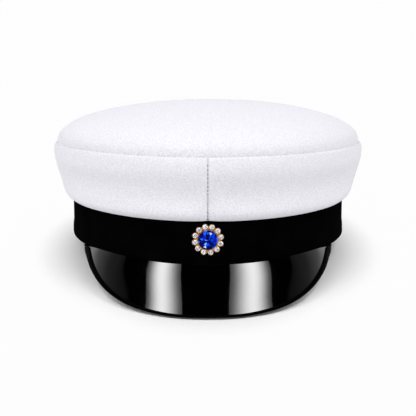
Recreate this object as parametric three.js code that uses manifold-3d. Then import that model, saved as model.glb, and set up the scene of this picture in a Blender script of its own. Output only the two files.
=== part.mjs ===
// Student cap: a white domed crown of cloth over a black velvet band, a black patent leather peak
// with a bound edge, and a round jewelled rosette pinned to the front of the band.
// Millimetres, +Z up, the front of the cap faces -Y. The cap rests on the tip of its peak and on
// the back of its band, and the origin is under the middle of it on the surface it rests on.
import * as THREE from "three";
import { mergeVertices } from "three/addons/utils/BufferGeometryUtils.js";
import { ConvexGeometry } from "three/addons/geometries/ConvexGeometry.js";
import Module from "manifold-3d";

// Space left between neighbouring pieces
const GAP = 0.3;

// Facets round the whole cap
const SEGMENTS = 56;

// Head opening: an oval that fits a head of about 575 mm round
const HEAD = { halfWidth: 82.5, halfLength: 100.9 };

// Velvet band: an upright wall with round edges and a slightly fuller lower third
const BAND = { wall: 2.5, height: 30, edgeRadius: 1.2, fullness: 0.5, fullBelow: 5.6, fullEnds: 8 };

// Outside oval of the band, from which every other piece is set off
const OVAL = { halfWidth: HEAD.halfWidth + BAND.wall, halfLength: HEAD.halfLength + BAND.wall };

// Crown cloth, and how far the top seam is higher in front than at the sides
const CLOTH = 1.8;
const FRONT_RISE = 4.1;
const SEAM = { out: 9.0, height: 55.9 };

// Outside of the crown's side wall from the top seam down to the band: out is measured from the
// band's oval and height from the band's lower edge
const SIDE_PROFILE = [
  { place: "seam lip", out: SEAM.out + GAP, height: 55.8 },
  { place: "shoulder", out: 11.0, height: 54.9 },
  { place: "fullest", out: 11.6, height: 52.4 },
  { place: "upper wall", out: 11.1, height: 48.6 },
  { place: "middle wall", out: 9.6, height: 40 },
  { place: "lower wall", out: 6.6, height: 30.4 },
  { place: "roll", out: 5.3, height: 26.8 },
  { place: "roll underside", out: 3.4, height: 24.7 },
  { place: "band", out: GAP, height: 24.0 },
];
const SIDE = { seamGroove: 0.6, seamAllowance: 1.0, seamReach: 5, rows: 10 };

// Angles from a seam at which the side wall is drawn to follow the groove, in degrees
const SEAM_ANGLES = [0.8, 1.7, 2.8];

// Crown top: a dome whose outline is rounder at the rim than in the middle, over a short skirt
// that hangs inside the lip of the side wall
const DOME = { rise: 25.4, innerPower: 1.8, rimPower: 2.4, skirt: 3.6, rows: 10 };

// Peak: how far the outer edge of its binding stands out from the band and drops below it, by
// the angle from the front
const PEAK_EDGE = [
  { angle: 0, reach: 20.5, drop: 25.7 },
  { angle: 12, reach: 20.2, drop: 25.4 },
  { angle: 24, reach: 18.4, drop: 22.8 },
  { angle: 34, reach: 14.9, drop: 18.1 },
  { angle: 43, reach: 10.2, drop: 12.2 },
  { angle: 51.5, reach: 4.8, drop: 6.0 },
  { angle: 58.4, reach: 2.0, drop: 1.3 },
];
const PEAK = { leather: 1.2, flange: 8, fullness: 0.5, columns: 30, slopeRows: 5 };

// Binding: a folded strip round the peak's edge, with softened lips and a rounded nose
const BINDING = { strip: 1.0, lip: 2.2, edgeGap: 0.25, softLip: 0.65, softDrop: 0.3, noseTurn: 0.7 };

// Rosette on the front of the band, drawn along +Z from the fullest part of the band's face
const ROSETTE = { height: 14.3, plate: 1.0, plateRadius: 7.4, plateSides: 24 };
const POST = { radius: 0.6, hole: 0.9, sides: 12 };
const CENTRE_STONE = { radius: 5.3, table: 3.1, crown: 1.5, pavilion: 2.3, girdleHeight: 3.1, sides: 16 };
const SMALL_STONE = { radius: 1.48, table: 0.85, crown: 0.65, pavilion: 1.0, girdleHeight: 2.2, sides: 8 };
const GIRDLE = 0.2;
const FACETS = { crownReach: 0.53, crownShare: 0.6, pavilionReach: 0.5, pavilionShare: 0.6 };
const CENTRE_CUP = { wall: 0.28, sides: 20 };
const SMALL_CUP = { wall: 0.26, sides: 10 };
const SEAT_GAP = 0.12;
const STONE_RING = { radius: 7.25, count: 12, firstAngle: 12 };
const CLUTCH = { radius: 3.6, thickness: 2.0, edge: 0.6, sides: 16 };
const CLUTCH_FRONT = -BAND.fullness - BAND.wall - GAP;

// How much the soft edges flatten where the cap rests, and a block wider than the cap to cut with
const FLATTEN = 0.7;
const CUT_BLOCK = { side: 400, depth: 60 };

const MERGE = 1e-4;
const DEGREE = Math.PI / 180;
const OUTSIDE = 0;
const INSIDE = 1;

const wasm = await Module();
wasm.setup();

// Solids for cutting and joining
function solidOf(source) {
  const bare = source.index ? source.toNonIndexed() : source.clone();
  const shape = new THREE.BufferGeometry();
  shape.setAttribute("position", bare.getAttribute("position"));
  const merged = mergeVertices(shape, MERGE);
  const index = merged.index.array;
  const kept = [];
  for (let i = 0; i < index.length; i += 3) {
    const [a, b, c] = index.slice(i, i + 3);
    if (a !== b && b !== c && c !== a) kept.push(a, b, c);
  }
  const vertProperties = Float32Array.from(merged.getAttribute("position").array);
  const triVerts = Uint32Array.from(kept);
  return new wasm.Manifold(new wasm.Mesh({ numProp: 3, vertProperties, triVerts }));
}

function geometryOf(solid) {
  const mesh = solid.getMesh();
  const geometry = new THREE.BufferGeometry();
  geometry.setAttribute("position", new THREE.BufferAttribute(Float32Array.from(mesh.vertProperties), 3));
  geometry.setIndex(Array.from(mesh.triVerts));
  return geometry;
}

// A wall between two faces: face(i, j, side) gives a point of its outside or its inside, with i
// counted round the cap from the wearer's right to left and j counted downwards
function wallGeometry(face, columns, rows, closed = false) {
  const rings = closed ? columns : columns + 1;
  const points = [];
  for (const side of [OUTSIDE, INSIDE]) {
    for (let i = 0; i < rings; i++) {
      for (let j = 0; j <= rows; j++) points.push(...face(i, j, side).toArray());
    }
  }
  const at = (side, i, j) => (side * rings + (i % rings)) * (rows + 1) + j;
  const index = [];
  const quad = (a, b, c, d) => index.push(a, b, c, a, c, d);
  for (let i = 0; i < columns; i++) {
    for (let j = 0; j < rows; j++) {
      quad(at(OUTSIDE, i, j), at(OUTSIDE, i, j + 1), at(OUTSIDE, i + 1, j + 1), at(OUTSIDE, i + 1, j));
      quad(at(INSIDE, i, j), at(INSIDE, i + 1, j), at(INSIDE, i + 1, j + 1), at(INSIDE, i, j + 1));
    }
    quad(at(OUTSIDE, i, 0), at(OUTSIDE, i + 1, 0), at(INSIDE, i + 1, 0), at(INSIDE, i, 0));
    quad(at(OUTSIDE, i, rows), at(INSIDE, i, rows), at(INSIDE, i + 1, rows), at(OUTSIDE, i + 1, rows));
  }
  for (let j = 0; j < rows && !closed; j++) {
    quad(at(OUTSIDE, 0, j), at(INSIDE, 0, j), at(INSIDE, 0, j + 1), at(OUTSIDE, 0, j + 1));
    const last = columns;
    quad(at(OUTSIDE, last, j), at(OUTSIDE, last, j + 1), at(INSIDE, last, j + 1), at(INSIDE, last, j));
  }
  const geometry = new THREE.BufferGeometry();
  geometry.setAttribute("position", new THREE.Float32BufferAttribute(points, 3));
  geometry.setIndex(index);
  return geometry;
}

// A point off the band's oval, at an angle from the front
function ovalPoint(angle, out, height) {
  const x = (OVAL.halfWidth + out) * Math.sin(angle);
  const y = -(OVAL.halfLength + out) * Math.cos(angle);
  return new THREE.Vector3(x, y, height);
}

// The crown is raised in front and lowered at the back, more the higher the place on it
function raised(angle, height) {
  const bandTop = SIDE_PROFILE.at(-1).height;
  const share = THREE.MathUtils.clamp((height - bandTop) / (SEAM.height - bandTop), 0, 1);
  return height + FRONT_RISE * share * Math.cos(angle);
}

// Point of a profile curve, moved square to the curve into the wall. The curve leaves its first
// point outwards and comes to its last point inwards, so both ends of the wall are upright.
function insetPoint(curve, share, depth) {
  const point = curve.getPoint(share);
  const along = curve.getTangent(share);
  if (share === 0) along.set(1, 0);
  if (share === 1) along.set(-1, 0);
  return point.add(new THREE.Vector2(along.y, -along.x).multiplyScalar(depth));
}

function velvetBand() {
  const { wall, height, edgeRadius, fullness, fullBelow, fullEnds } = BAND;
  const section = new THREE.Shape();
  section.moveTo(-wall, edgeRadius);
  section.quadraticCurveTo(-wall, 0, -wall / 2, 0);
  section.quadraticCurveTo(fullness, 0, fullness, edgeRadius + fullness);
  section.quadraticCurveTo(fullness, fullBelow, 0, fullEnds);
  section.lineTo(0, height - edgeRadius);
  section.quadraticCurveTo(0, height, -wall / 2, height);
  section.quadraticCurveTo(-wall, height, -wall, height - edgeRadius);
  const outline = section.getPoints(2);
  const ring = new THREE.LatheGeometry(
    [...outline, outline[0]].map((p) => new THREE.Vector2(OVAL.halfWidth + p.x, p.y)),
    SEGMENTS,
  );
  ring.rotateX(Math.PI / 2);
  const position = ring.getAttribute("position");
  const extra = OVAL.halfLength - OVAL.halfWidth;
  for (let i = 0; i < position.count; i++) {
    const x = position.getX(i);
    const y = position.getY(i);
    position.setY(i, y + (extra * y) / Math.hypot(x, y));
  }
  const hole = new THREE.CylinderGeometry(POST.hole, POST.hole, 6 * wall, POST.sides);
  hole.translate(0, -OVAL.halfLength, ROSETTE.height);
  return solidOf(ring).subtract(solidOf(hole));
}

// Angles from the front seam round to the back seam, closer together beside the seams
function seamToSeamAngles() {
  const first = Math.asin(GAP / 2 / OVAL.halfWidth) / DEGREE;
  const beside = [first, ...SEAM_ANGLES];
  const between = [];
  for (let k = 1; k < SEGMENTS / 2; k++) between.push((360 / SEGMENTS) * k);
  return [...beside, ...between, ...beside.map((angle) => 180 - angle).reverse()];
}

// One half of the side wall, from the front seam round to the back seam. Beside each seam the
// cloth dips into a groove and is doubled inside by its turned-in edge.
function crownSide(sign) {
  const outline = new THREE.SplineCurve(SIDE_PROFILE.map((row) => new THREE.Vector2(row.out, row.height)));
  const angles = seamToSeamAngles();
  const seamRadius = OVAL.halfLength + SEAM.out;
  const face = (i, j, side) => {
    const angle = angles[i] * DEGREE;
    const fromSeam = seamRadius * Math.min(angle, Math.PI - angle);
    const nearSeam = Math.max(0, 1 - fromSeam / SIDE.seamReach);
    const share = j / SIDE.rows;
    const onWall = Math.sin(Math.PI * share);
    const groove = SIDE.seamGroove * nearSeam ** 2 * onWall;
    const doubled = SIDE.seamAllowance * Math.min(1, 2 * nearSeam) * onWall;
    const p = insetPoint(outline, share, side === OUTSIDE ? groove : CLOTH + doubled);
    return ovalPoint(angle * sign, p.x, raised(angle, p.y));
  };
  const wall = wallGeometry(face, angles.length - 1, SIDE.rows);
  if (sign < 0) wall.index.array.reverse();
  return wall;
}

// The top panel: one dome, drawn as a share of the seam oval from its middle out to the rim and
// down the skirt
function crownTop() {
  const rimRadius = OVAL.halfWidth + SEAM.out;
  const stretch = (OVAL.halfLength + SEAM.out) / rimRadius;
  const steps = DOME.rows - 1;
  const corners = [];
  for (let k = 0; k <= steps; k++) {
    const share = Math.sin((Math.PI / 2) * (k / steps));
    const rise = DOME.rise * (1 - share ** DOME.innerPower) ** (1 / DOME.rimPower);
    corners.push(new THREE.Vector2(rimRadius * share, SEAM.height + rise));
  }
  corners.push(new THREE.Vector2(rimRadius, SEAM.height - DOME.skirt));
  const inset = (j) => {
    const before = corners[Math.max(j - 1, 0)];
    const after = corners[Math.min(j + 1, DOME.rows)];
    const along = j === 0 ? new THREE.Vector2(1, 0) : after.clone().sub(before).normalize();
    return corners[j].clone().add(new THREE.Vector2(along.y, -along.x).multiplyScalar(CLOTH));
  };
  const face = (i, j, side) => {
    const p = side === OUTSIDE ? corners[j] : inset(j);
    const angle = (2 * Math.PI * i) / SEGMENTS;
    const share = p.x / rimRadius;
    const x = p.x * Math.sin(angle);
    const y = -p.x * stretch * Math.cos(angle);
    return new THREE.Vector3(x, y, p.y + FRONT_RISE * share * Math.cos(angle));
  };
  return wallGeometry(face, SEGMENTS, DOME.rows, true);
}

// The peak's outer edge at a share of its length, as an angle, a reach and a drop
const edgeCurve = new THREE.CatmullRomCurve3(
  [...PEAK_EDGE.slice(1).reverse().map((row) => ({ ...row, angle: -row.angle })), ...PEAK_EDGE].map(
    (row) => new THREE.Vector3(row.angle, row.reach, row.drop),
  ),
);

// Section of the peak in one of its columns: where the leather leaves the band and where it ends,
// along its middle, with the directions down the slope and out of it
function peakSection(column) {
  const edge = edgeCurve.getPoint(column / PEAK.columns);
  const hem = new THREE.Vector2(-GAP, -GAP - PEAK.leather / 2);
  const rim = new THREE.Vector2(edge.y, -edge.z);
  const along = rim.clone().sub(hem).normalize();
  const up = new THREE.Vector2(-along.y, along.x);
  rim.addScaledVector(along, -BINDING.strip - BINDING.edgeGap);
  return { angle: edge.x * DEGREE, hem, rim, along, up };
}

// Leather from the flange behind the band, under the band's edge and down the slope
function peak() {
  const flangeRows = 2;
  const flangeMiddle = -BAND.wall - GAP - PEAK.leather / 2;
  const face = (i, j, side) => {
    const { angle, hem, rim, up } = peakSection(i);
    const half = side === OUTSIDE ? PEAK.leather / 2 : -PEAK.leather / 2;
    if (j === 0) return ovalPoint(angle, flangeMiddle + half, PEAK.flange);
    if (j === 1) return ovalPoint(angle, flangeMiddle + half, hem.y + half);
    if (j === 2) return ovalPoint(angle, hem.x, hem.y + half);
    const share = (j - flangeRows) / PEAK.slopeRows;
    const fullness = PEAK.fullness * Math.sin(Math.PI * share) * (rim.x / PEAK_EDGE[0].reach);
    const p = hem.clone().lerp(rim, share).addScaledVector(up, half + fullness);
    return ovalPoint(angle, p.x, p.y);
  };
  return wallGeometry(face, PEAK.columns, flangeRows + PEAK.slopeRows);
}

// Binding: its section is a narrow U that takes the peak's edge, carried along that edge. A row
// gives how far past the leather's end the strip's outside and inside lie and how far above it.
function peakBinding() {
  const { strip, lip, edgeGap, softLip, softDrop, noseTurn } = BINDING;
  const slot = PEAK.leather / 2 + edgeGap;
  const outer = slot + strip;
  const nose = edgeGap + strip;
  const softPast = softLip - lip;
  const upperHalf = [
    { outsidePast: -lip, outsideUp: outer - softDrop, insidePast: -lip, insideUp: slot },
    { outsidePast: softPast, outsideUp: outer, insidePast: softPast, insideUp: slot },
    { outsidePast: 0, outsideUp: outer, insidePast: 0, insideUp: slot },
    { outsidePast: noseTurn * nose, outsideUp: noseTurn * outer, insidePast: edgeGap, insideUp: slot },
  ];
  const lowerHalf = upperHalf.map((row) => ({ ...row, outsideUp: -row.outsideUp, insideUp: -row.insideUp }));
  const middle = { outsidePast: nose, outsideUp: 0, insidePast: edgeGap, insideUp: 0 };
  const section = [...upperHalf, middle, ...lowerHalf.reverse()];
  const face = (i, j, side) => {
    const { angle, rim, along, up } = peakSection(i);
    const row = section[j];
    const [past, lift] = side === OUTSIDE ? [row.outsidePast, row.outsideUp] : [row.insidePast, row.insideUp];
    const p = rim.clone().addScaledVector(along, past).addScaledVector(up, lift);
    return ovalPoint(angle, p.x, p.y);
  };
  const bandSpace = new THREE.BoxGeometry(CUT_BLOCK.side, CUT_BLOCK.side, CUT_BLOCK.depth);
  bandSpace.translate(0, 0, CUT_BLOCK.depth / 2 - GAP);
  const folded = wallGeometry(face, PEAK.columns, section.length - 1);
  return solidOf(folded).subtract(solidOf(bandSpace));
}

// A round brilliant cut: a flat table, a ring of crown facets, a girdle and a pointed pavilion.
// The corners of the middle facets lie between those of the table and the girdle.
function cutStone({ radius, table, crown, pavilion, girdleHeight, sides }) {
  const { crownReach, crownShare, pavilionReach, pavilionShare } = FACETS;
  const girdleTop = girdleHeight + GIRDLE;
  const rings = [
    { reach: table, height: girdleTop + crown, turn: 0 },
    { reach: crownReach * (table + radius), height: girdleTop + crownShare * crown, turn: 0.5 },
    { reach: radius, height: girdleTop, turn: 0 },
    { reach: radius, height: girdleHeight, turn: 0 },
    { reach: pavilionReach * radius, height: girdleHeight - pavilionShare * pavilion, turn: 0.5 },
  ];
  const points = [new THREE.Vector3(0, 0, girdleHeight - pavilion)];
  for (const { reach, height, turn } of rings) {
    for (let k = 0; k < sides; k++) {
      const angle = (2 * Math.PI * (k + turn)) / sides;
      points.push(new THREE.Vector3(reach * Math.cos(angle), reach * Math.sin(angle), height));
    }
  }
  return new ConvexGeometry(points);
}

// A round upright piece on the rosette's own axis
function uprightCylinder(radius, bottom, top, sides) {
  const cylinder = new THREE.CylinderGeometry(radius, radius, top - bottom, sides);
  cylinder.rotateX(Math.PI / 2);
  cylinder.translate(0, 0, (bottom + top) / 2);
  return cylinder;
}

// Round hollow that a stone sits in, a little wider than the stone
function stoneSeat({ radius, pavilion, crown, girdleHeight }, sides) {
  const bottom = girdleHeight - pavilion - SEAT_GAP;
  return solidOf(uprightCylinder(radius + SEAT_GAP, bottom, girdleHeight + crown, sides));
}

// Cup before its hollow is cut, up to just over the stone's girdle
function stoneCup({ radius, girdleHeight }, { wall, sides }) {
  return uprightCylinder(radius + SEAT_GAP + wall, GAP, girdleHeight + 2 * GIRDLE, sides);
}

function ringPlace(k) {
  const angle = (STONE_RING.firstAngle + (360 / STONE_RING.count) * k) * DEGREE;
  return new THREE.Vector3(STONE_RING.radius * Math.cos(angle), STONE_RING.radius * Math.sin(angle), 0);
}

// Setting: plate, post, centre cup and a ring of small cups, soldered into one
function rosetteSetting() {
  const { plate, plateRadius, plateSides } = ROSETTE;
  const base = uprightCylinder(plateRadius, GAP, GAP + plate, plateSides);
  const post = uprightCylinder(POST.radius, CLUTCH_FRONT - CLUTCH.thickness, GAP + plate / 2, POST.sides);
  let metal = solidOf(base).add(solidOf(post)).add(solidOf(stoneCup(CENTRE_STONE, CENTRE_CUP)));
  const cup = stoneCup(SMALL_STONE, SMALL_CUP);
  for (let k = 0; k < STONE_RING.count; k++) {
    const { x, y } = ringPlace(k);
    metal = metal.add(solidOf(cup.clone().translate(x, y, 0)));
  }
  metal = metal.subtract(stoneSeat(CENTRE_STONE, CENTRE_CUP.sides));
  for (let k = 0; k < STONE_RING.count; k++) {
    const { x, y } = ringPlace(k);
    metal = metal.subtract(stoneSeat(SMALL_STONE, SMALL_CUP.sides).translate([x, y, 0]));
  }
  return geometryOf(metal);
}

// Disc pushed on to the post inside the band
function rosetteClutch() {
  const { radius, thickness, edge, sides } = CLUTCH;
  const back = CLUTCH_FRONT - thickness;
  const section = [
    new THREE.Vector2(POST.hole, CLUTCH_FRONT),
    new THREE.Vector2(POST.hole, back),
    new THREE.Vector2(radius - edge, back),
    new THREE.Vector2(radius, back + edge),
    new THREE.Vector2(radius, CLUTCH_FRONT),
    new THREE.Vector2(POST.hole, CLUTCH_FRONT),
  ];
  const disc = new THREE.LatheGeometry(section, sides);
  disc.rotateX(Math.PI / 2);
  return disc;
}

// Lowest point of a shape when the cap leans by an angle
function lowestPoint(geometry, lean) {
  const position = geometry.getAttribute("position");
  const point = new THREE.Vector3();
  const lowest = new THREE.Vector3(0, 0, Infinity);
  const height = (p) => p.z * Math.cos(lean) - p.y * Math.sin(lean);
  for (let i = 0; i < position.count; i++) {
    point.fromBufferAttribute(position, i);
    if (lowest.z === Infinity || height(point) < height(lowest)) lowest.copy(point);
  }
  return { point: lowest, height: height(lowest) };
}

// Lean at which the peak's tip and the back of the band are level, found in a few closer tries
function restingLean(front, back) {
  const tries = 6;
  let lean = 0;
  for (let turn = 0; turn < tries; turn++) {
    const tip = lowestPoint(front, lean).point;
    const heel = lowestPoint(back, lean).point;
    lean = Math.atan2(heel.z - tip.z, heel.y - tip.y);
  }
  return lean;
}

const cloth = () => new THREE.MeshStandardMaterial({ color: 0xf0eff5, roughness: 0.95 });
const velvet = () => new THREE.MeshStandardMaterial({ color: 0x050506, roughness: 0.9 });
const patent = () => new THREE.MeshStandardMaterial({ color: 0x040405, roughness: 0.08 });
const gold = () => new THREE.MeshStandardMaterial({ color: 0xd2a247, roughness: 0.25, metalness: 1 });
const blueGlass = () => new THREE.MeshStandardMaterial({ color: 0x1d3fd0, roughness: 0.03 });
const clearGlass = () => new THREE.MeshStandardMaterial({ color: 0xe8ebf0, roughness: 0.03 });

function piece(name, geometry, material) {
  const mesh = new THREE.Mesh(geometry, material);
  mesh.name = name;
  return mesh;
}

const bandSolid = velvetBand();
const bindingSolid = peakBinding();
const bindingShape = geometryOf(bindingSolid);
const lean = restingLean(bindingShape, geometryOf(bandSolid));

// Block under the resting plane that flattens the soft edges
const floorBlock = new THREE.BoxGeometry(CUT_BLOCK.side, CUT_BLOCK.side, CUT_BLOCK.depth);
floorBlock.translate(0, 0, lowestPoint(bindingShape, lean).height + FLATTEN - CUT_BLOCK.depth / 2);
floorBlock.rotateX(lean);
const floorSolid = solidOf(floorBlock);

const rosette = new THREE.Group();
rosette.position.set(0, -OVAL.halfLength - BAND.fullness, ROSETTE.height);
rosette.rotation.x = Math.PI / 2;
rosette.add(piece("rosette_setting", rosetteSetting(), gold()));
rosette.add(piece("rosette_centre_stone", cutStone(CENTRE_STONE), blueGlass()));
for (let k = 0; k < STONE_RING.count; k++) {
  const name = `rosette_stone_${String(k + 1).padStart(2, "0")}`;
  const stone = piece(name, cutStone(SMALL_STONE), clearGlass());
  stone.position.copy(ringPlace(k));
  rosette.add(stone);
}
rosette.add(piece("rosette_clutch", rosetteClutch(), gold()));

const cap = new THREE.Group();
cap.add(piece("crown_top", crownTop(), cloth()));
cap.add(piece("crown_side_left", crownSide(-1), cloth()));
cap.add(piece("crown_side_right", crownSide(1), cloth()));
cap.add(piece("velvet_band", geometryOf(bandSolid.subtract(floorSolid)), velvet()));
cap.add(piece("peak", peak(), patent()));
cap.add(piece("peak_binding", geometryOf(bindingSolid.subtract(floorSolid)), patent()));
cap.add(rosette);
cap.rotation.x = -lean;

// The origin goes under the middle of the leaning cap
const part = new THREE.Group();
part.add(cap);
part.updateMatrixWorld(true);
const box = new THREE.Box3().setFromObject(part, true);
cap.position.set(-(box.min.x + box.max.x) / 2, -(box.min.y + box.max.y) / 2, -box.min.z);
part.updateMatrixWorld(true);

export default part;
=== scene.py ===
import math

import bmesh
import bpy
from mathutils import Matrix, Vector, geometry, noise


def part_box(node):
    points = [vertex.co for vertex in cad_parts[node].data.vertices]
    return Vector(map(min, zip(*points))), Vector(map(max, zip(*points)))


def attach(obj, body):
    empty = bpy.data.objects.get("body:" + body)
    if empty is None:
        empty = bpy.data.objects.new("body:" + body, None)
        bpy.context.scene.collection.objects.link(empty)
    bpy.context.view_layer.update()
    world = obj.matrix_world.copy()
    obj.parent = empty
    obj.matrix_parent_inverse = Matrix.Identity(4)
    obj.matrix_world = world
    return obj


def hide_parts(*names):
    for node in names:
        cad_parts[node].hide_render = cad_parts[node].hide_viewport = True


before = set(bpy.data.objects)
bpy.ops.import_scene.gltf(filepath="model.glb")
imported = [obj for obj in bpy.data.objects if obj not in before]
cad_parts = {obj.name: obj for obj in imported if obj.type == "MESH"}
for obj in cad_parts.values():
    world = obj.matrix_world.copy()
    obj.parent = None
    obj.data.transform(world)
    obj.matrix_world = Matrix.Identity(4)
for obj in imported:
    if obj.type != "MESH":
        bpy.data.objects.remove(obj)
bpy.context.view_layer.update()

# Velvet band
# The upright band round the head: thick black cotton velvet, sewn into a ring with its edges turned
# in. The turned edge makes the lower quarter a little fuller. Sizes are in millimetres.
half_width = 85.0
half_length = 103.4
band_wall = 2.5
band_height = 30.0
# Rows: out from the oval, height
band_face = [
    (0.5, 0.0),
    (0.5, 1.9),
    (0.48, 3.5),
    (0.38, 5.2),
    (0.2, 6.7),
    (0.0, 8.0),
    (0.0, band_height),
]
band_edge = 0.35
band_edge_steps = 5
band_steps = 192
# Rows: degrees from the front, lift of the hem
hem_rise = [(0.0, 0.2), (26.0, 0.25), (35.0, 1.0), (40.0, 1.15), (47.0, 1.1), (58.4, 0.0)]
hem_fade = 10.0
hem_sag = 1.1
sag_angle = 24.0
weld_gap = 0.002
corner_angle = 1.0
velvet_black = (0.0006, 0.0006, 0.0007)
velvet_nap = (0.0016, 0.0015, 0.0018)
velvet_bloom = (0.5, 0.5, 0.56, 1.0)

# The cap's lean and place, read from two stones that sit opposite each other in the rosette
millimetre = 0.001
rosette_height = 14.3
pin_out = 0.5
stone_out = 2.125
stone_middle = Vector((0.0, -half_length - pin_out - stone_out, rosette_height))
upper_stone = sum(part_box("rosette_stone_04"), Vector()) / 2
lower_stone = sum(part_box("rosette_stone_10"), Vector()) / 2
lean = math.atan2(upper_stone.y - lower_stone.y, upper_stone.z - lower_stone.z)
turn = Matrix.Rotation(-lean, 4, "X") @ Matrix.Scale(millimetre, 4)
settle = Matrix.Translation((upper_stone + lower_stone) / 2 - turn @ stone_middle) @ turn


def fade_out(distance, reach):
    return max(0.0, 1 - distance / reach)


def hem_lift(angle):
    turned = math.degrees(abs(angle))
    for (start, low), (end, high) in zip(hem_rise, hem_rise[1:]):
        if turned <= end:
            share = (turned - start) / (end - start)
            return low + (high - low) * share * share * (3 - 2 * share)
    return 0.0


def oval_angle(place):
    return math.atan2(place.x / half_width, -place.y / half_length)


def chain(bm, places, closed=False):
    verts = [bm.verts.new(place) for place in places]
    for first, second in zip(verts, verts[1:] + verts[:1] if closed else verts[1:]):
        bm.edges.new((first, second))


def spin_round(bm, steps):
    outline = bm.verts[:] + bm.edges[:]
    bmesh.ops.spin(bm, geom=outline, axis=(0, 0, 1), angle=math.tau, steps=steps, use_merge=True)
    bmesh.ops.remove_doubles(bm, verts=bm.verts, dist=weld_gap)
    bmesh.ops.recalc_face_normals(bm, faces=bm.faces)


def round_corners(bm, offset, steps):
    sharp = [edge for edge in bm.edges if edge.calc_face_angle(0) > corner_angle]
    bmesh.ops.bevel(
        bm, geom=sharp, offset=offset, segments=steps, profile=0.5, affect="EDGES", material=-1
    )


def make_oval(bm):
    for vert in bm.verts:
        vert.co.y += (half_length - half_width) * vert.co.y / vert.co.xy.length


def set_down(bm, name, finishes, nodes, place=settle, smooth=True):
    bmesh.ops.transform(bm, matrix=place, verts=bm.verts)
    # What would sink below the table is flattened on it
    for vert in bm.verts:
        vert.co.z = max(vert.co.z, 0.0)
    mesh = bpy.data.meshes.new(name)
    bm.to_mesh(mesh)
    bm.free()
    if smooth:
        mesh.shade_smooth()
    for finish in finishes:
        mesh.materials.append(finish)
    piece = bpy.data.objects.new(name, mesh)
    bpy.context.scene.collection.objects.link(piece)
    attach(piece, "root")
    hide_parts(*nodes)
    return piece


def new_finish(name):
    material = bpy.data.materials.new(name)
    material.use_nodes = True
    return material, material.node_tree


def apply_finish(tree, settings):
    shader = tree.nodes["Principled BSDF"]
    for name, setting in settings.items():
        if isinstance(setting, bpy.types.NodeSocket):
            tree.links.new(setting, shader.inputs[name])
        else:
            shader.inputs[name].default_value = setting


def add_noise(tree, scale, detail, roughness=0.6):
    where = tree.nodes.new("ShaderNodeTexCoord")
    grain = tree.nodes.new("ShaderNodeTexNoise")
    grain.inputs["Scale"].default_value = scale
    grain.inputs["Detail"].default_value = detail
    grain.inputs["Roughness"].default_value = roughness
    tree.links.new(where.outputs["Object"], grain.inputs["Vector"])
    return grain.outputs["Fac"]


def add_stops(tree, value, stops, blend="LINEAR"):
    ramp = tree.nodes.new("ShaderNodeValToRGB")
    ramp.color_ramp.interpolation = blend
    while len(ramp.color_ramp.elements) < len(stops):
        ramp.color_ramp.elements.new(0.5)
    for element, (place, colour) in zip(ramp.color_ramp.elements, stops):
        element.position = place
        element.color = (*colour, 1.0)
    tree.links.new(value, ramp.inputs["Fac"])
    return ramp.outputs["Color"]


def add_ramp(tree, value, low, high, start=0.3, end=0.7):
    return add_stops(tree, value, [(start, low), (end, high)])


def add_bump(tree, height, strength, distance, under=None):
    bump = tree.nodes.new("ShaderNodeBump")
    bump.inputs["Strength"].default_value = strength
    bump.inputs["Distance"].default_value = distance
    tree.links.new(height, bump.inputs["Height"])
    if under:
        tree.links.new(under, bump.inputs["Normal"])
    return bump.outputs["Normal"]


velvet, tree = new_finish("black_velvet_pile")
lie = add_noise(tree, scale=70, detail=4)
pile = add_noise(tree, scale=900, detail=3)
apply_finish(tree, {
    "Base Color": add_ramp(tree, lie, velvet_black, velvet_nap),
    "Normal": add_bump(tree, pile, strength=0.6, distance=0.0004),
    "Roughness": 1.0,
    "Specular IOR Level": 0.0,
    "Sheen Weight": 0.012,
    "Sheen Roughness": 0.35,
    "Sheen Tint": velvet_bloom,
})

bm = bmesh.new()
band_outline = [(-band_wall, 0.0)] + band_face + [(-band_wall, band_height)]
chain(bm, [(0, -half_width - out, height) for out, height in band_outline], closed=True)
spin_round(bm, band_steps)
round_corners(bm, band_edge, band_edge_steps)
make_oval(bm)
for vert in bm.verts:
    angle = oval_angle(vert.co)
    sag = hem_sag * max(0.0, 1 - (math.degrees(angle) / sag_angle) ** 2)
    vert.co.z += (hem_lift(angle) - sag) * fade_out(vert.co.z, hem_fade)
band = set_down(bm, "band_velvet", [velvet], ["velvet_band"])

# Peak
# The sloping shade: one sheet of black patent leather, pressed to a slight fullness, with its back
# edge turned up inside the band and sewn there. The underside is plain leather, and a narrow line of
# the upper face is dull, close under the middle of the band's hem.
leather = 1.2
peak_start = Vector((-0.26, -0.68))
peak_fullness = 0.5
tip_reach = 20.5
# Rows: degrees from the front, reach out from the oval, drop below it
peak_edge = [
    (0.0, tip_reach, 25.7),
    (12.0, 20.2, 25.4),
    (24.0, 18.4, 22.8),
    (34.0, 14.9, 18.1),
    (43.0, 10.2, 12.2),
    (51.5, 4.8, 6.0),
    (55.5, 2.8, 3.2),
    (58.4, 0.9, 0.9),
]
# Rows: out from the oval, height
flange = [
    (-2.8, 8.0),
    (-2.8, 4.0),
    (-2.8, 1.0),
    (-2.7, 0.3),
    (-2.3, -0.1),
    (-1.6, -0.2),
    (-0.3, -0.2),
    (0.0, -0.2),
]
span_steps = 10
slope_rows = 24
steep_end = Vector((0.62, -0.78))
steep_angles = (48.0, 55.0)
rim_inset = 1.25
bare_rows = 3
bare_angle = 7.0
patent_black = (0.0003, 0.0003, 0.0004, 1.0)
underside_dark = (0.006, 0.006, 0.006)
underside_light = (0.018, 0.017, 0.017)
edge_dark = (0.0002, 0.0002, 0.0002)
edge_light = (0.0006, 0.0006, 0.0007)


def part_way(value, start, end):
    return min(max((value - start) / (end - start), 0.0), 1.0)


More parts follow.
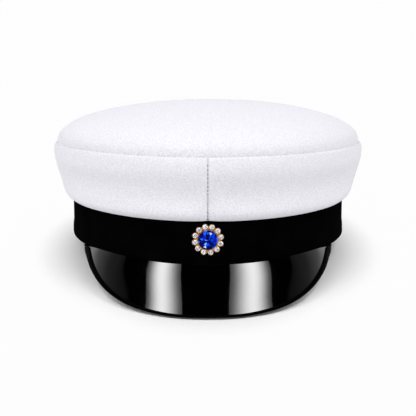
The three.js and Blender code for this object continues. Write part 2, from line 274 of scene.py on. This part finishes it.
def smooth_line(points, steps):
    line = []
    # Each stretch is a curve whose handles follow the points on either side of it
    for k in range(len(points) - 1):
        before = points[max(k - 1, 0)]
        start = points[k]
        end = points[k + 1]
        after = points[min(k + 2, len(points) - 1)]
        knot_out = start + (end - before) / 6
        knot_in = end - (after - start) / 6
        line += geometry.interpolate_bezier(start, knot_out, knot_in, end, steps + 1)[:-1]
    return line + [points[-1]]


right_edge = [Vector(row) for row in peak_edge]
left_edge = [Vector((-row.x, row.y, row.z)) for row in right_edge[:0:-1]]
edge_line = smooth_line(left_edge + right_edge, span_steps)


def peak_slope(column):
    turned, reach, drop = edge_line[column]
    angle = math.radians(turned)
    start = peak_start + Vector((0.0, hem_lift(angle)))
    tip = Vector((reach, -drop))
    steep = part_way(abs(turned), *steep_angles)
    down = (tip - start).normalized().lerp(steep_end, steep).normalized()
    return angle, start, tip - down * rim_inset, down, Vector((-down.y, down.x))


def off_oval(angle, out, height):
    across = (half_width + out) * math.sin(angle)
    along = -(half_length + out) * math.cos(angle)
    return Vector((across, along, height))


def grid_places(bm, columns, rows):
    for vert in bm.verts:
        yield vert, round((vert.co.x + 1) * columns / 2), round((1 - vert.co.y) * rows / 2)


def use_second_finish(bm, corners):
    for face in bm.faces:
        face.material_index = int(corners.issuperset(face.verts))


def grey(level):
    return level, level, level


patent, tree = new_finish("black_patent_leather")
lacquer = add_noise(tree, scale=60, detail=3)
dimples = add_noise(tree, scale=260, detail=3)
apply_finish(tree, {
    "Base Color": patent_black,
    "IOR": 1.5,
    "Roughness": add_ramp(tree, lacquer, grey(0.03), grey(0.07)),
    "Coat Weight": 1.0,
    "Coat Roughness": 0.02,
    "Normal": add_bump(tree, dimples, strength=0.03, distance=0.0004),
})

edge_leather, tree = new_finish("black_edge_leather")
edge_grain = add_noise(tree, scale=900, detail=4)
apply_finish(tree, {
    "Base Color": add_ramp(tree, edge_grain, edge_dark, edge_light),
    "Normal": add_bump(tree, edge_grain, strength=0.3, distance=0.0002),
    "Roughness": 0.4,
    "Specular IOR Level": 0.01,
})

underside, tree = new_finish("black_leather_underside")
hide = add_noise(tree, scale=260, detail=4)
pores = add_noise(tree, scale=1400, detail=4)
apply_finish(tree, {
    "Base Color": add_ramp(tree, hide, underside_dark, underside_light),
    "Normal": add_bump(tree, pores, strength=0.4, distance=0.0003),
    "Roughness": 0.62,
})

bm = bmesh.new()
columns = len(edge_line) - 1
rows = len(flange) + slope_rows
bmesh.ops.create_grid(bm, x_segments=columns, y_segments=rows, size=1)
bare = set()
for vert, column, row in grid_places(bm, columns, rows):
    angle, start, rim, _, up = peak_slope(column)
    if row <= len(flange) + bare_rows and abs(edge_line[column].x) < bare_angle:
        bare.add(vert)
    if row < len(flange):
        out, height = flange[row]
        vert.co = off_oval(angle, out, height + hem_lift(angle))
        continue
    share = (1 - math.cos(math.pi * (row - len(flange)) / slope_rows)) / 2
    lift = peak_fullness * math.sin(math.pi * share) * rim.x / tip_reach
    vert.co = off_oval(angle, *(start.lerp(rim, share) + up * (lift + leather / 2)))
use_second_finish(bm, bare)
bmesh.ops.recalc_face_normals(bm, faces=bm.faces)
if sum(face.normal.z * face.calc_area() for face in bm.faces) < 0:
    bmesh.ops.reverse_faces(bm, faces=bm.faces)
peak_finishes = [patent, edge_leather, underside]
grown = bmesh.ops.solidify(bm, geom=bm.faces[:], thickness=leather)
for part in grown["geom"]:
    if isinstance(part, bmesh.types.BMFace):
        part.material_index = peak_finishes.index(underside)
set_down(bm, "peak_leather", peak_finishes, ["peak"])

# Edge binding
# A narrow strip of black leather, folded over the free edge of the peak and sewn, with both ends
# running up under the band. Its upper face is dull. The nose and the lower face are polished except
# near the two ends, and flattened where the cap rests.
binding_strip = 1.0
binding_end = 0.0
# Rows: past the rim of the peak, above its middle
binding_upper = [
    (-1.5, 0.95),
    (-1.44, 1.3),
    (-1.2, 1.52),
    (-0.8, 1.6),
    (0.0, 1.58),
    (0.45, 1.42),
    (0.88, 1.08),
]
binding_nose = [(1.17, 0.65), (1.25, 0.0), (1.17, -0.65)]
lip_at_tip = 0.5
lip_at_sides = 2.4
lip_angle = 55.0
thin_share = 0.55
thin_angles = (50.0, 58.4)
polished_angle = 46.0


def move_with_hem(bm, sign):
    for vert in bm.verts:
        vert.co.z += sign * hem_lift(oval_angle(vert.co))


bm = bmesh.new()
binding_lower = [(past, -lift) for past, lift in reversed(binding_upper)]
binding_line = binding_upper + binding_nose + binding_lower
rows = len(binding_line) - 1
bmesh.ops.create_grid(bm, x_segments=columns, y_segments=rows, size=1)
polished = set()
for vert, column, row in grid_places(bm, columns, rows):
    angle, _, rim, down, up = peak_slope(column)
    turned = abs(edge_line[column].x)
    if row >= len(binding_upper) - 1 and turned < polished_angle:
        polished.add(vert)
    past, lift = binding_line[row]
    if past < 0:
        share = min(turned / lip_angle, 1.0)
        past *= lip_at_tip + (lip_at_sides - lip_at_tip) * share * share
    lift *= 1 - thin_share * part_way(turned, *thin_angles)
    vert.co = off_oval(angle, *(rim + down * past + up * lift))
use_second_finish(bm, polished)
move_with_hem(bm, -1)
strip = bm.verts[:] + bm.edges[:] + bm.faces[:]
end_cut = (0, 0, binding_end)
bmesh.ops.bisect_plane(bm, geom=strip, plane_co=end_cut, plane_no=(0, 0, 1), clear_outer=True)
move_with_hem(bm, 1)
bmesh.ops.recalc_face_normals(bm, faces=bm.faces)
nose_face = min(bm.faces, key=lambda face: face.calc_center_median().y)
if nose_face.normal.y > 0:
    bmesh.ops.reverse_faces(bm, faces=bm.faces)
bmesh.ops.solidify(bm, geom=bm.faces[:], thickness=binding_strip)
set_down(bm, "peak_edge_binding", [edge_leather, patent], ["peak_binding"])

# Crown sides
# Two curved panels of white felted wool that stand round the band, sewn to each other down the
# front and the back. They lean out to a full shoulder and roll under to meet the band.
cloth = 1.8
front_rise = 4.5
roll_height = 24.0
seam_height = 55.9
seam_out = 9.0
# Rows: out from the oval, height
side_profile = [
    (8.85, 55.85),
    (9.8, 55.8),
    (10.6, 55.0),
    (11.05, 53.5),
    (11.25, 51.6),
    (10.95, 48.2),
    (9.3, 40.0),
    (6.3, 31.0),
    (4.8, 27.0),
    (3.1, 25.0),
    (0.3, 24.3),
]
profile_steps = 4
half_seam = math.radians(0.1)
beside_seam = math.radians(4.0)
seam_steps = 20
wall_steps = 88
groove_depth = 0.7
groove_reach = 1.6
dip_depth = 0.35
dip_reach = 9.0
notch_lift = 0.9
notch_reach = 0.75
notch_height = 2.0
# Rows: height, reach up and down, push outwards
folds = [(38.0, 11.0, -3.1), (28.0, 7.0, 3.2)]
fold_ease = 0.5
seam_flat = 16.0
seam_calm = 0.75
back_calm = 0.65
side_start = 0.8
soft_wave = 0.35
wave_scale = 0.035
wool_light = (0.875, 0.865, 0.915)
wool_grey = (0.72, 0.71, 0.76)
# Colour of the painted shade along the crease at the top seam
wool_crease_shade = (0.5, 0.49, 0.54, 1.0)


def add_attribute(tree, name):
    attribute = tree.nodes.new("ShaderNodeAttribute")
    attribute.attribute_name = name
    return attribute.outputs["Fac"]


def add_math(tree, operation, first, second):
    step = tree.nodes.new("ShaderNodeMath")
    step.operation = operation
    tree.links.new(first, step.inputs[0])
    tree.links.new(second, step.inputs[1])
    return step.outputs["Value"]


wool, tree = new_finish("white_felted_wool")
felt = add_noise(tree, scale=1400, detail=5, roughness=0.65)
fluff = add_noise(tree, scale=240, detail=4)
tufts = add_noise(tree, scale=800, detail=4)
specks = add_ramp(tree, tufts, grey(1.0), grey(0.0), start=0.42, end=0.56)
wool_tint = tree.nodes.new("ShaderNodeMix")
wool_tint.data_type = "RGBA"
wool_tint.inputs["B"].default_value = wool_crease_shade
# Painted shade: grey specks along the dome's rim at the crown seam, where the crease lies
crease_shade_mask = add_math(tree, "MULTIPLY", add_attribute(tree, "painted_crease_shade"), specks)
tree.links.new(crease_shade_mask, wool_tint.inputs["Factor"])
unshaded_wool = add_ramp(tree, felt, wool_grey, wool_light, start=0.36, end=0.6)
tree.links.new(unshaded_wool, wool_tint.inputs["A"])
soft = add_bump(tree, fluff, strength=0.12, distance=0.0008)
apply_finish(tree, {
    "Base Color": wool_tint.outputs["Result"],
    "Normal": add_bump(tree, felt, strength=0.5, distance=0.0004, under=soft),
    "Roughness": 0.95,
    "Specular IOR Level": 0.1,
    "Sheen Weight": 0.05,
    "Sheen Roughness": 0.6,
})


def round_angle(place):
    return math.atan2(place.x, -place.y)


def up_wall(height):
    return part_way(height, roll_height, seam_height)


def side_panel(sign):
    bm = bmesh.new()
    outline = smooth_line([Vector(point) for point in side_profile], profile_steps)
    chain(bm, [(0, -half_width - out, height) for out, height in outline])
    bmesh.ops.rotate(bm, cent=(0, 0, 0), matrix=Matrix.Rotation(half_seam, 3, "Z"), verts=bm.verts)
    front = bm.verts[:] + bm.edges[:]
    near = beside_seam - half_seam
    sweeps = [(near, seam_steps), (math.pi - 2 * beside_seam, wall_steps), (near, seam_steps)]
    for angle, steps in sweeps:
        spun = bmesh.ops.spin(bm, geom=front, axis=(0, 0, 1), angle=angle, steps=steps)
        front = spun["geom_last"]
    bmesh.ops.recalc_face_normals(bm, faces=bm.faces)
    flat = Vector((1, 1, 0))
    outward = sum(face.normal.dot(face.calc_center_median() * flat) for face in bm.faces)
    if outward < 0:
        bmesh.ops.reverse_faces(bm, faces=bm.faces)
    bm.normal_update()
    for vert in bm.verts:
        angle = round_angle(vert.co)
        apart = (half_length + seam_out) * min(angle, math.pi - angle)
        on_wall = math.sin(math.pi * up_wall(vert.co.z))
        groove = groove_depth * fade_out(apart, groove_reach) ** 2
        dip = dip_depth * fade_out(apart, dip_reach) ** 2
        to_side = part_way(math.sin(angle), side_start, 1.0)
        at_seam = seam_calm * fade_out(apart, seam_flat) ** 2
        at_back = back_calm * max(0.0, -math.cos(angle))
        fullness = (1 - to_side) * (1 - at_seam) * (1 - at_back)
        wave = soft_wave * noise.noise(vert.co * wave_scale)
        for height, reach, push in folds:
            off_fold = min(abs(vert.co.z - height) / reach, 1.0)
            wave += push * fullness * (1 + math.cos(math.pi * off_fold)) / 2
        vert.co += vert.normal * ((wave - dip) * on_wall**fold_ease - groove)
        if vert.co.z < roll_height + notch_height:
            vert.co.z += notch_lift * fade_out(apart, notch_reach)
    bmesh.ops.solidify(bm, geom=bm.faces[:], thickness=cloth)
    make_oval(bm)
    for vert in bm.verts:
        vert.co.z += front_rise * up_wall(vert.co.z) * math.cos(round_angle(vert.co))
    if sign < 0:
        bmesh.ops.mirror(bm, geom=bm.verts[:] + bm.edges[:] + bm.faces[:], axis="X", merge_dist=-1)
        far = [vert for vert in bm.verts if vert.co.x > 0]
        bmesh.ops.delete(bm, geom=far, context="VERTS")
        bmesh.ops.recalc_face_normals(bm, faces=bm.faces)
    return bm


for side, sign in (("right", 1), ("left", -1)):
    node = "crown_side_" + side
    panel = set_down(side_panel(sign), "side_cloth_" + side, [wool], [node])

# Crown top
# One oval of the same wool, shaped into a dome and sewn to the tops of the side panels, with its
# edge turned down inside them. The seam draws it into shallow puckers, mostly at the two sides, and
# grey specks along the seam in front and behind are painted shade of the crease there.
dome_rise = 25.4
dome_middle_power = 1.8
dome_rim_power = 2.4
dome_rows = 44
dome_steps = 240
skirt_drop = 3.6
skirt_rows = 3
rim_radius = half_width + seam_out
pucker = 0.4
pucker_reach = 22.0
pucker_in_front = 0.3
pucker_power = 3
pucker_pace = 18
pucker_drift = 0.02
rim_clear = 0.5
crease_shade_height = 5.0
crease_shade_share = 0.42
dome_wave = 0.5
dome_wave_scale = 0.022

bm = bmesh.new()
dome_line = []
for row in range(dome_rows + 1):
    share = math.sin(math.pi / 2 * row / dome_rows)
    rise = dome_rise * (1 - share**dome_middle_power) ** (1 / dome_rim_power)
    dome_line.append((rim_radius * share, seam_height + rise))
for row in range(1, skirt_rows + 1):
    dome_line.append((rim_radius, seam_height - skirt_drop * row / skirt_rows))
chain(bm, [(0, -away, height) for away, height in dome_line])
spin_round(bm, dome_steps)
if max(bm.faces, key=lambda face: face.calc_center_median().z).normal.z < 0:
    bmesh.ops.reverse_faces(bm, faces=bm.faces)
bm.normal_update()
painted_crease_shade = bm.verts.layers.float.new("painted_crease_shade")
for vert in bm.verts:
    angle = round_angle(vert.co)
    away = vert.co.xy.length
    at_rim = fade_out(abs(vert.co.z - seam_height), crease_shade_height)
    # Painted crease shade, strongest in front and behind, fading away from the seam
    vert[painted_crease_shade] = crease_shade_share * at_rim * math.cos(angle) ** 2
    to_seam = fade_out(rim_radius - away, pucker_reach) * (vert.co.z > seam_height + rim_clear)
    at_sides = pucker_in_front + (1 - pucker_in_front) * abs(math.sin(angle)) ** pucker_power
    along_rim = (pucker_pace * math.sin(angle), pucker_pace * math.cos(angle))
    crease = noise.noise(Vector((*along_rim, away * pucker_drift)))
    swell = dome_wave * noise.noise(vert.co * dome_wave_scale) * (1 - away / rim_radius)
    vert.co += vert.normal * (pucker * at_sides * to_seam * crease + swell)
bmesh.ops.solidify(bm, geom=bm.faces[:], thickness=cloth)
for vert in bm.verts:
    tilt = front_rise * vert.co.xy.length / rim_radius * math.cos(round_angle(vert.co))
    vert.co.y *= (half_length + seam_out) / rim_radius
    vert.co.z += tilt
dome = set_down(bm, "dome_cloth", [wool], ["crown_top"])

# Seam stitches
# White sewing thread that closes the front and back seams of the crown, one short stitch lying
# across the join every two millimetres.
stitch_pitch = 2.0
stitch_size = (0.62, 0.2, 0.36)
stitch_depth = 0.75
walk_steps = 24
thread_shade = (0.66, 0.65, 0.69)
thread_light = (0.82, 0.81, 0.85)

thread, tree = new_finish("white_sewing_thread")
fibres = add_noise(tree, scale=2600, detail=3)
apply_finish(tree, {
    "Base Color": add_ramp(tree, fibres, thread_shade, thread_light),
    "Roughness": 0.7,
    "Sheen Weight": 0.1,
})

bm = bmesh.new()
seam_line = smooth_line([Vector(point) for point in side_profile], walk_steps)
for facing in (1, -1):
    walked = 0.0
    for first, second in zip(seam_line, seam_line[1:]):
        before = walked
        walked += (second - first).length
        if int(before / stitch_pitch) == int(walked / stitch_pitch):
            continue
        slant = math.atan2(second.y - first.y, second.x - first.x)
        height = second.y + front_rise * up_wall(second.y) * facing
        away = half_length + second.x - stitch_depth
        place = Matrix.Translation((0, -away * facing, height))
        tilt = Matrix.Rotation(facing * (slant + math.pi / 2), 4, "X")
        stitch = place @ tilt @ Matrix.Diagonal((*stitch_size, 1.0))
        bmesh.ops.create_uvsphere(bm, u_segments=8, v_segments=5, radius=1.0, matrix=stitch)
set_down(bm, "seam_stitches", [thread], [])

# Rosette setting
# A round gold-coloured mount soldered from a plate, a wide collar for the centre stone and twelve
# small collars, with a grain of metal between each two. A post behind it passes through the band.
plate_radius = 7.4
plate_back = 0.3
plate_front = 1.3
plate_edge = 0.25
plate_edge_steps = 3
ring_radius = 7.25
ring_count = 12
ring_first = math.radians(12)
# Rows: from the collar's middle, height above the band
centre_lip = [(5.68, 3.4), (5.62, 3.48), (5.52, 3.48), (5.46, 3.42), (5.54, 3.34)]
centre_collar = [(5.54, 1.0), (5.71, 1.0), (5.72, 3.25)] + centre_lip
centre_steps = 72
small_lip = [(1.64, 2.45), (1.58, 2.52), (1.5, 2.53), (1.44, 2.48), (1.5, 2.43)]
small_collar = [(1.5, 0.9), (1.66, 0.9), (1.66, 2.36)] + small_lip
small_steps = 28
grain_radius = 0.42
grain_away = 6.2
grain_height = 2.75
post_radius = 0.6
post_length = 6.1
post_front = 0.8
gold_deep = (0.52, 0.25, 0.06)
gold_light = (0.82, 0.47, 0.15)

# The rosette is made lying flat, then stood up against the front of the band
pin_place = Matrix.Translation((0, -half_length - pin_out, rosette_height))
pin = settle @ pin_place @ Matrix.Rotation(math.pi / 2, 4, "X")

gold, tree = new_finish("polished_gold_colour")
polish = add_noise(tree, scale=420, detail=4)
apply_finish(tree, {
    "Base Color": add_ramp(tree, polish, gold_deep, gold_light),
    "Roughness": add_ramp(tree, polish, grey(0.12), grey(0.26)),
    "Metallic": 1.0,
})


def turned_ring(outline, steps):
    bm = bmesh.new()
    chain(bm, [(away, 0, height) for away, height in outline], closed=True)
    spin_round(bm, steps)
    return bm


def add_collar(bm, outline, steps, x, y):
    collar = turned_ring(outline, steps)
    bmesh.ops.translate(collar, vec=(x, y, 0), verts=collar.verts)
    loose = bpy.data.meshes.new("collar")
    collar.to_mesh(loose)
    collar.free()
    bm.from_mesh(loose)
    bpy.data.meshes.remove(loose)


def ring_place(k, away):
    angle = ring_first + math.tau * k / ring_count
    return away * math.cos(angle), away * math.sin(angle)


bm = bmesh.new()
bmesh.ops.create_circle(bm, cap_ends=True, segments=64, radius=plate_radius)
bmesh.ops.translate(bm, vec=(0, 0, plate_back), verts=bm.verts)
raised = bmesh.ops.extrude_face_region(bm, geom=bm.faces[:])
lifted = [part for part in raised["geom"] if isinstance(part, bmesh.types.BMVert)]
bmesh.ops.translate(bm, vec=(0, 0, plate_front - plate_back), verts=lifted)
bmesh.ops.recalc_face_normals(bm, faces=bm.faces)
round_corners(bm, plate_edge, plate_edge_steps)
add_collar(bm, centre_collar, centre_steps, 0, 0)
for k in range(ring_count):
    add_collar(bm, small_collar, small_steps, *ring_place(k, ring_radius))
    ball = Matrix.Translation((*ring_place(k + 0.5, grain_away), grain_height))
    bmesh.ops.create_icosphere(bm, subdivisions=2, radius=grain_radius, matrix=ball)
bmesh.ops.create_cone(
    bm,
    cap_ends=True,
    segments=20,
    radius1=post_radius,
    radius2=post_radius,
    depth=post_length,
    matrix=Matrix.Translation((0, 0, post_front - post_length / 2)),
)
set_down(bm, "rosette_mount", [gold], ["rosette_setting"], pin)

# Rosette clutch
# The plain stamped disc of the same gold-coloured metal, pushed on to the post inside the band to
# hold the rosette on, where the cap hides it from the front.
clutch_steps = 48
# Rows: from the post's middle, height above the band
clutch_line = [
    (0.62, -3.3),
    (3.3, -3.3),
    (3.55, -3.5),
    (3.6, -3.9),
    (3.45, -4.5),
    (3.0, -4.85),
    (2.0, -4.9),
    (1.5, -5.25),
    (0.62, -5.3),
]
clutch = turned_ring(clutch_line, clutch_steps)
set_down(clutch, "clutch_disc", [gold], ["rosette_clutch"], pin)

# Stones
# One round brilliant of deep blue glass in the wide collar and twelve small clear ones round it,
# cut with a flat table and held by the collars' edges. Each facet has a painted light level of its
# own:
# painted reflections, glints and shade in place of the light inside the stone, with a faint painted
# glow.
blue_cut = {
    "sides": 16,
    "radius": 5.5,
    "table": 3.1,
    "crown": 1.5,
    "girdle": 3.1,
    "pavilion": 2.3,
    "crown_facet_light": (0.6, 0.4),
    "table_facet_light": (0.68, 0.55),
}
clear_cut = {
    "sides": 8,
    "radius": 1.48,
    "table": 0.85,
    "crown": 0.65,
    "girdle": 2.2,
    "pavilion": 1.0,
    "crown_facet_light": (0.88, 0.4),
    "table_facet_light": (0.42, 0.4),
}
girdle_edge = 0.2
star_share = 0.5
upper_break = 0.53
lower_break = 0.5
break_share = 0.6
half_side = 0.5
level_facing = 0.99
flat_limit = math.radians(1)
facet_light_scale = 9.7
facet_light_power = 0.6
# Rows: painted facet light level, colour from painted shade to painted glints
blue_facet_lights = [
    (0.0, (0.0, 0.001, 0.05)),
    (0.22, (0.0, 0.009, 0.34)),
    (0.5, (0.0, 0.024, 0.56)),
    (0.78, (0.001, 0.05, 0.76)),
    (0.92, (0.04, 0.19, 0.96)),
    (1.0, (0.62, 0.78, 1.0)),
]
clear_facet_lights = [
    (0.0, (0.2, 0.2, 0.24)),
    (0.3, (0.5, 0.5, 0.55)),
    (0.6, (0.85, 0.85, 0.88)),
    (1.0, (1.0, 1.0, 1.0)),
]


def cut_stone(cut, x, y):
    bm = bmesh.new()
    painted_facet_light = bm.faces.layers.float.new("painted_facet_light")
    top = cut["girdle"] + girdle_edge
    upper_reach = upper_break * (cut["table"] + cut["radius"])
    rings = [
        (cut["table"], top + cut["crown"], 0.0),
        (upper_reach, top + break_share * cut["crown"], half_side),
        (cut["radius"], top, 0.0),
        (cut["radius"], cut["girdle"], 0.0),
        (lower_break * cut["radius"], cut["girdle"] - break_share * cut["pavilion"], half_side),
    ]
    corners = [bm.verts.new((0, 0, cut["girdle"] - cut["pavilion"]))]
    for reach, height, offset in rings:
        for k in range(cut["sides"]):
            angle = math.tau * (k + offset) / cut["sides"]
            place = (reach * math.cos(angle), reach * math.sin(angle), height)
            corners.append(bm.verts.new(place))
    bmesh.ops.convex_hull(bm, input=corners)
    bmesh.ops.dissolve_limit(bm, angle_limit=flat_limit, verts=bm.verts, edges=bm.edges)
    bmesh.ops.recalc_face_normals(bm, faces=bm.faces)
    table = max(bm.faces, key=lambda face: face.calc_center_median().z)
    star = star_share * cut["table"]
    bmesh.ops.inset_region(bm, faces=[table], thickness=star, use_even_offset=True)
    table = max(bm.faces, key=lambda face: len(face.verts) * (face.normal.z > level_facing))
    bmesh.ops.poke(bm, faces=[table])
    # Painted reflections, glints and shade: each facet gets a random light level, from dark to white
    for face in bm.faces:
        middle = face.calc_center_median()
        chance = 2 * noise.cell(middle * facet_light_scale + Vector((x, y, 0))) - 1
        level, spread = cut["table_facet_light" if face.normal.z > level_facing else "crown_facet_light"]
        face[painted_facet_light] = part_way(level + spread * chance * abs(chance) ** facet_light_power, 0.0, 1.0)
    bmesh.ops.translate(bm, vec=(x, y, 0), verts=bm.verts)
    return bm


# The facet colours are painted reflections and shade, and their emission is a painted glow
def stone_finish(name, facet_light_stops, specular, painted_glow):
    material, tree = new_finish(name)
    facets = add_stops(tree, add_attribute(tree, "painted_facet_light"), facet_light_stops)
    apply_finish(tree, {
        "Base Color": facets,
        "Emission Color": facets,
        "Emission Strength": painted_glow,
        "Specular IOR Level": specular,
        "Roughness": 0.05,
    })
    return material


blue_glass = stone_finish("deep_blue_glass", blue_facet_lights, specular=0.03, painted_glow=0.2)
clear_glass = stone_finish("clear_glass", clear_facet_lights, specular=0.5, painted_glow=0.25)
bm = cut_stone(blue_cut, 0, 0)
node = "rosette_centre_stone"
set_down(bm, "centre_stone_cut", [blue_glass], [node], pin, smooth=False)
for k in range(ring_count):
    number = f"{k + 1:02d}"
    name = "ring_stone_cut_" + number
    node = "rosette_stone_" + number
    bm = cut_stone(clear_cut, *ring_place(k, ring_radius))
    set_down(bm, name, [clear_glass], [node], pin, smooth=False)

# Floor
# A plain pale table top that runs far past the picture, lit from within away from the cap, as a
# light table is, and shaded by it close by. It is seen from above only. Sizes are in metres.
floor_reach = 4.0
# Rows: middle, half sizes
shade_ovals = [
    ((0.0, 0.0, 0.0), (0.085, 0.104, 1.0)),
    ((0.0, -0.06, 0.0), (0.058, 0.068, 1.0)),
]
shade_ends = (1.0, 1.28)
# A ramp ends at 1, so distances are measured in spans of this many half sizes
ramp_span = 14.0
floor_white = 0.9
floor_even = 0.975

floor_finish, tree = new_finish("pale_floor")
where = tree.nodes.new("ShaderNodeTexCoord")
lengths = []
for middle, oval in shade_ovals:
    shrink = tree.nodes.new("ShaderNodeMapping")
    shrink.vector_type = "TEXTURE"
    shrink.inputs["Location"].default_value = middle
    shrink.inputs["Scale"].default_value = Vector(oval) * ramp_span
    length = tree.nodes.new("ShaderNodeVectorMath")
    length.operation = "LENGTH"
    tree.links.new(where.outputs["Object"], shrink.inputs["Vector"])
    tree.links.new(shrink.outputs["Vector"], length.inputs[0])
    lengths.append(length.outputs["Value"])
away = add_math(tree, "MINIMUM", *lengths)
inner, outer = [place / ramp_span for place in shade_ends]
apply_finish(tree, {
    "Base Color": add_ramp(tree, away, grey(floor_white), grey(0.0), inner, outer),
    "Emission Color": add_ramp(tree, away, grey(0.0), grey(floor_even), inner, outer),
    "Emission Strength": 1.0,
    "Roughness": 0.9,
    "Specular IOR Level": 0.1,
})
faces_down = tree.nodes.new("ShaderNodeNewGeometry")
see_through = tree.nodes.new("ShaderNodeBsdfTransparent")
either = tree.nodes.new("ShaderNodeMixShader")
tree.links.new(faces_down.outputs["Backfacing"], either.inputs["Fac"])
tree.links.new(tree.nodes["Principled BSDF"].outputs["BSDF"], either.inputs[1])
tree.links.new(see_through.outputs["BSDF"], either.inputs[2])
tree.links.new(either.outputs["Shader"], tree.nodes["Material Output"].inputs["Surface"])

bm = bmesh.new()
bmesh.ops.create_grid(bm, x_segments=1, y_segments=1, size=floor_reach)
floor_mesh = bpy.data.meshes.new("floor")
bm.to_mesh(floor_mesh)
bm.free()
floor_mesh.materials.append(floor_finish)
floor = bpy.data.objects.new("floor", floor_mesh)
bpy.context.scene.collection.objects.link(floor)

# Studio light
# Two soft boxes overhead that are brightest along their middles, left and right of a dark gap, a
# broad key light in front, a smaller one behind, and a room that is bright near the horizon and dark
# overhead. Sizes are in metres.
box_height = 1.3
# Rows: left and right edge, as shares of the height
box_edges = [(-0.785, -0.31), (0.255, 0.825)]
box_front = -0.78
box_back = 0.05
box_taper = 0.2
box_hot = 10.0
# Rows: share of the way from the gap, glow
box_glow = [(0.0, 0.08), (0.52, 1.0), (0.99, 0.07), (1.0, 0.0)]
# Rows: how far up the direction points, glow
room_glow = [(0.1, 0.8), (0.3, 0.8), (0.42, 0.36), (0.55, 0.13), (0.7, 0.048), (0.72, 0.0)]
bpy.context.scene.view_settings.view_transform = "Standard"


def soft_light(name, place, aim, size, radiance):
    lamp = bpy.data.lights.new(name, "AREA")
    lamp.shape = "RECTANGLE"
    lamp.size, lamp.size_y = size
    lamp.energy = math.pi * size[0] * size[1] * radiance
    light = bpy.data.objects.new(name, lamp)
    light.location = place
    light.rotation_euler = (Vector(aim) - Vector(place)).to_track_quat("-Z", "Y").to_euler()
    bpy.context.scene.collection.objects.link(light)
    return lamp


def add_levels(tree, value, rows, blend="LINEAR"):
    return add_stops(tree, value, [(place, grey(level)) for place, level in rows], blend)


for left, right in box_edges:
    middle = Vector(((left + right) / 2 * box_height, (box_front + box_back) / 2, box_height))
    size = ((right - left) * box_height, box_back - box_front)
    lamp = soft_light("overhead_box", middle, middle * Vector((1, 1, 0)), size, box_hot)
    lamp.use_nodes = True
    tree = lamp.node_tree
    across = tree.nodes.new("ShaderNodeNewGeometry")
    split = tree.nodes.new("ShaderNodeSeparateXYZ")
    tree.links.new(across.outputs["Parametric"], split.inputs["Vector"])
    gap_end = 0.0 if left > 0 else 1.0
    from_gap = tree.nodes.new("ShaderNodeMapRange")
    from_gap.inputs["From Min"].default_value = gap_end
    from_gap.inputs["From Max"].default_value = 1.0 - gap_end
    tree.links.new(split.outputs["X"], from_gap.inputs["Value"])
    widen = tree.nodes.new("ShaderNodeMapRange")
    widen.inputs["To Min"].default_value = 1.0
    widen.inputs["To Max"].default_value = 1.0 + box_taper
    tree.links.new(split.outputs["Y"], widen.inputs["Value"])
    narrowed = add_math(tree, "MULTIPLY", from_gap.outputs["Result"], widen.outputs["Result"])
    glow = add_levels(tree, narrowed, box_glow, "EASE")
    tree.links.new(glow, tree.nodes["Emission"].inputs["Color"])
soft_light("front_key", (-0.4, -1.4, 1.35), aim=(0, -0.05, 0.05), size=(4.4, 0.8), radiance=1.4)
soft_light("back_fill", (0, 0.75, 1.4), aim=(0, 0, 0.05), size=(2.0, 0.9), radiance=1.36)

room = bpy.data.worlds.new("room")
bpy.context.scene.world = room
room.use_nodes = True
tree = room.node_tree
where = tree.nodes.new("ShaderNodeTexCoord")
split = tree.nodes.new("ShaderNodeSeparateXYZ")
tree.links.new(where.outputs["Generated"], split.inputs["Vector"])
sky = add_levels(tree, split.outputs["Z"], room_glow)
tree.links.new(sky, tree.nodes["Background"].inputs["Color"])

# Camera
# It stands in front of the cap, a little above it, with a long lens, and looks at the middle of the
# band. Its place and aim are in the cap's own millimetres, before the cap is set down.
camera_place = Vector((0, -687.62, 142.69))
camera_aim = Vector((0, 0, 11.64))
camera_data = bpy.data.cameras.new("camera")
camera_data.lens = 94.34
camera_data.sensor_width = 36.0
camera_data.shift_x = 0.0003
camera = bpy.data.objects.new("camera", camera_data)
camera.location = settle @ camera_place
sight = settle @ camera_aim - camera.location
camera.rotation_euler = sight.to_track_quat("-Z", "Y").to_euler()
bpy.context.scene.collection.objects.link(camera)
bpy.context.scene.camera = camera
